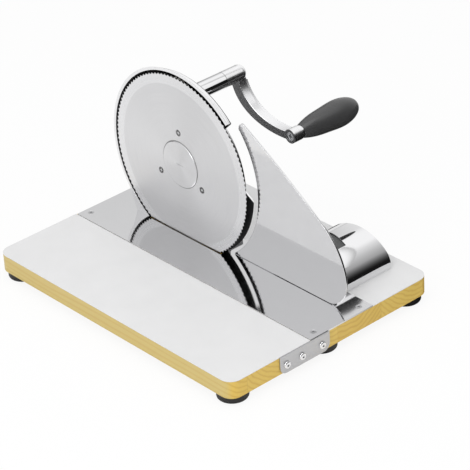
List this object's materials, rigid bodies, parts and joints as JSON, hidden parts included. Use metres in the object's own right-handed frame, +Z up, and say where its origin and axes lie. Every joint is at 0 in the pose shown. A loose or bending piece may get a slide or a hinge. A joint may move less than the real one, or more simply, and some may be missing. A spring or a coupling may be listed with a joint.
{
  "type": "hand-cranked bread slicer",
  "caption": "Hand-cranked bread slicer with a round toothed blade, a geared crank and a sliding thickness gauge on a board.",
  "frame": {"origin": "middle of the whole slicer's footprint at rest, on the surface it stands on", "axes": "+X from the board towards the crank handle, across the blade; +Y away from the user, along the track; +Z up"},
  "size_m": [0.3166, 0.3492, 0.2102],
  "materials": {
    "wood": "oiled edge-glued hardwood",
    "laminate": "satin white laminate",
    "track_steel": "mirror polished stainless steel",
    "brushed_steel": "brushed stainless steel",
    "blade_steel": "ground stainless steel with a circular grain",
    "chrome": "bright chrome",
    "screw_steel": "plain steel",
    "shaft_steel": "ground steel",
    "bronze": "plain bearing bronze",
    "gear_plastic": "pale moulded gear plastic",
    "grey_plastic": "satin dark grey plastic",
    "slide_plastic": "moulded grey plastic",
    "black_rubber": "matt black rubber"
  },
  "bodies": {
    "base": {"board": "wood", "laminate_left": "laminate", "laminate_right": "laminate", "track_plate": "track_steel", "track_screws": "screw_steel", "edge_plate": "brushed_steel", "edge_plate_screws": "screw_steel", "rubber_feet": "black_rubber", "foot_screws": "screw_steel", "blade_housing": "chrome", "housing_stand": "brushed_steel", "stand_screws": "screw_steel", "stand_bolts": "screw_steel", "blade_bearing": "chrome", "blade_bearing_screws": "screw_steel", "blade_bush": "bronze", "crank_tube": "chrome", "crank_tube_screws": "screw_steel", "crank_bushes": "bronze", "slide_cover": "chrome", "cover_end_cap": "slide_plastic", "cover_nuts": "screw_steel", "cover_screws": "screw_steel", "guide_bed": "slide_plastic", "guide_bed_screws": "screw_steel"},
    "blade_assembly": {"blade": "blade_steel", "blade_screws": "screw_steel", "blade_cap": "blade_steel", "blade_gear": "gear_plastic", "blade_shaft": "shaft_steel", "blade_shaft_ring": "shaft_steel"},
    "crank_assembly": {"crank_gear": "gear_plastic", "crank_shaft": "shaft_steel", "crank_arm": "chrome", "crank_grub_screw": "shaft_steel", "handle_pin": "shaft_steel"},
    "handle": {"handle_grip": "grey_plastic", "handle_sleeve": "gear_plastic", "handle_ferrule": "chrome"},
    "gauge": {"gauge_plate": "track_steel", "gauge_bracket": "brushed_steel", "gauge_nuts": "screw_steel", "guide_rods": "shaft_steel", "gauge_saddle": "slide_plastic"}
  },
  "joints": [
    {"name": "blade_spin", "type": "hinge", "parent": "base", "child": "blade_assembly", "pos_m": [-0.00975, 0.05865, 0.11], "axis": [1, 0, 0], "continuous": true},
    {"name": "crank_spin", "type": "hinge", "parent": "base", "child": "crank_assembly", "pos_m": [0.05075, 0.05865, 0.18], "axis": [1, 0, 0], "continuous": true},
    {"name": "handle_spin", "type": "hinge", "parent": "crank_assembly", "child": "handle", "pos_m": [0.08275, -0.01855, 0.1384], "axis": [1, 0, 0], "continuous": true},
    {"name": "gauge_slide", "type": "slide", "parent": "base", "child": "gauge", "axis": [1, 0, 0], "range_m": [-0.0095, 0.0085]}
  ],
  "couplings": [
    {"joint": "crank_spin", "follows": "blade_spin", "ratio": -2.2}
  ]
}
